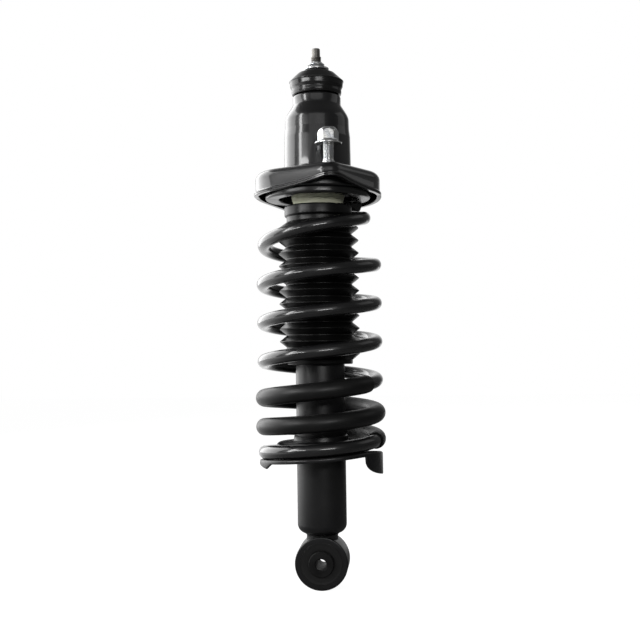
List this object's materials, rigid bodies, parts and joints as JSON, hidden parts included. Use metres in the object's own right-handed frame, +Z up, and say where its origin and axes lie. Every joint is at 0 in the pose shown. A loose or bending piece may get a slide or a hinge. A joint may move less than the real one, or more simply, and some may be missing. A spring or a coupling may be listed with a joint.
{
  "type": "strut assembly",
  "caption": "Rear suspension strut: twin-tube damper, coil spring, dust boot and two-stud upper mount, with a rubber-bushed eye at its lower end.",
  "frame": {"origin": "on the damper's axis, level with the underside of the lower eye; the lower bolt's axis is 25.7 mm above it", "axes": "+Z up along the damper's axis, towards the rod's tip; Y along the lower bolt, -Y towards the end that the picture shows; +X to the right in that view"},
  "size_m": [0.125, 0.1426, 0.5288],
  "materials": {
    "gloss_black_paint": "gloss",
    "satin_black_paint": "satin",
    "zinc_plate": "bright zinc",
    "dark_steel": "phosphated",
    "bright_steel": "ground",
    "sintered_steel": "matte",
    "black_rubber": "satin",
    "cream_foam": "matte foam",
    "cap_plastic": "matte",
    "band_plastic": "matte"
  },
  "bodies": {
    "upper_mount": {"mount_flange": "gloss_black_paint", "mount_tower": "gloss_black_paint", "upper_spring_seat": "gloss_black_paint", "spring_isolator": "black_rubber", "front_stud": "zinc_plate", "rear_stud": "zinc_plate", "front_stud_nut": "zinc_plate", "rear_stud_nut": "zinc_plate", "upper_bushing": "black_rubber", "upper_washer": "zinc_plate", "rod_nut": "zinc_plate", "bushing_collar": "zinc_plate", "lower_bushing": "black_rubber", "lower_washer": "dark_steel", "bump_stop_cup": "gloss_black_paint", "bump_stop": "cream_foam", "dust_boot": "black_rubber", "coil_spring": "gloss_black_paint", "spring_hose": "black_rubber", "piston_rod": "dark_steel", "rebound_stop": "black_rubber", "piston": "sintered_steel", "piston_band": "band_plastic", "valve_stack": "bright_steel", "piston_nut": "dark_steel"},
    "damper_body": {"outer_tube": "satin_black_paint", "work_tube": "bright_steel", "base_valve": "sintered_steel", "rod_guide": "sintered_steel", "rod_seal": "black_rubber", "tube_cap": "cap_plastic", "lower_spring_seat": "gloss_black_paint", "lower_eye": "satin_black_paint", "eye_bush": "black_rubber"},
    "bolt_sleeve": {"inner_sleeve": "dark_steel"}
  },
  "joints": [
    {"name": "damper_stroke", "type": "slide", "parent": "upper_mount", "child": "damper_body", "axis": [0, 0, 1], "range_m": [0, 0.1], "stiffness_N_per_m": 25000, "springref_m": -0.012, "deforming": ["coil_spring", "spring_hose", "dust_boot"]},
    {"name": "lower_sleeve_twist", "type": "hinge", "parent": "damper_body", "child": "bolt_sleeve", "pos_m": [0, 0, 0.0257], "axis": [0, 1, 0], "range_deg": [-20, 20], "stiffness_Nm_per_rad": 1.2}
  ]
}
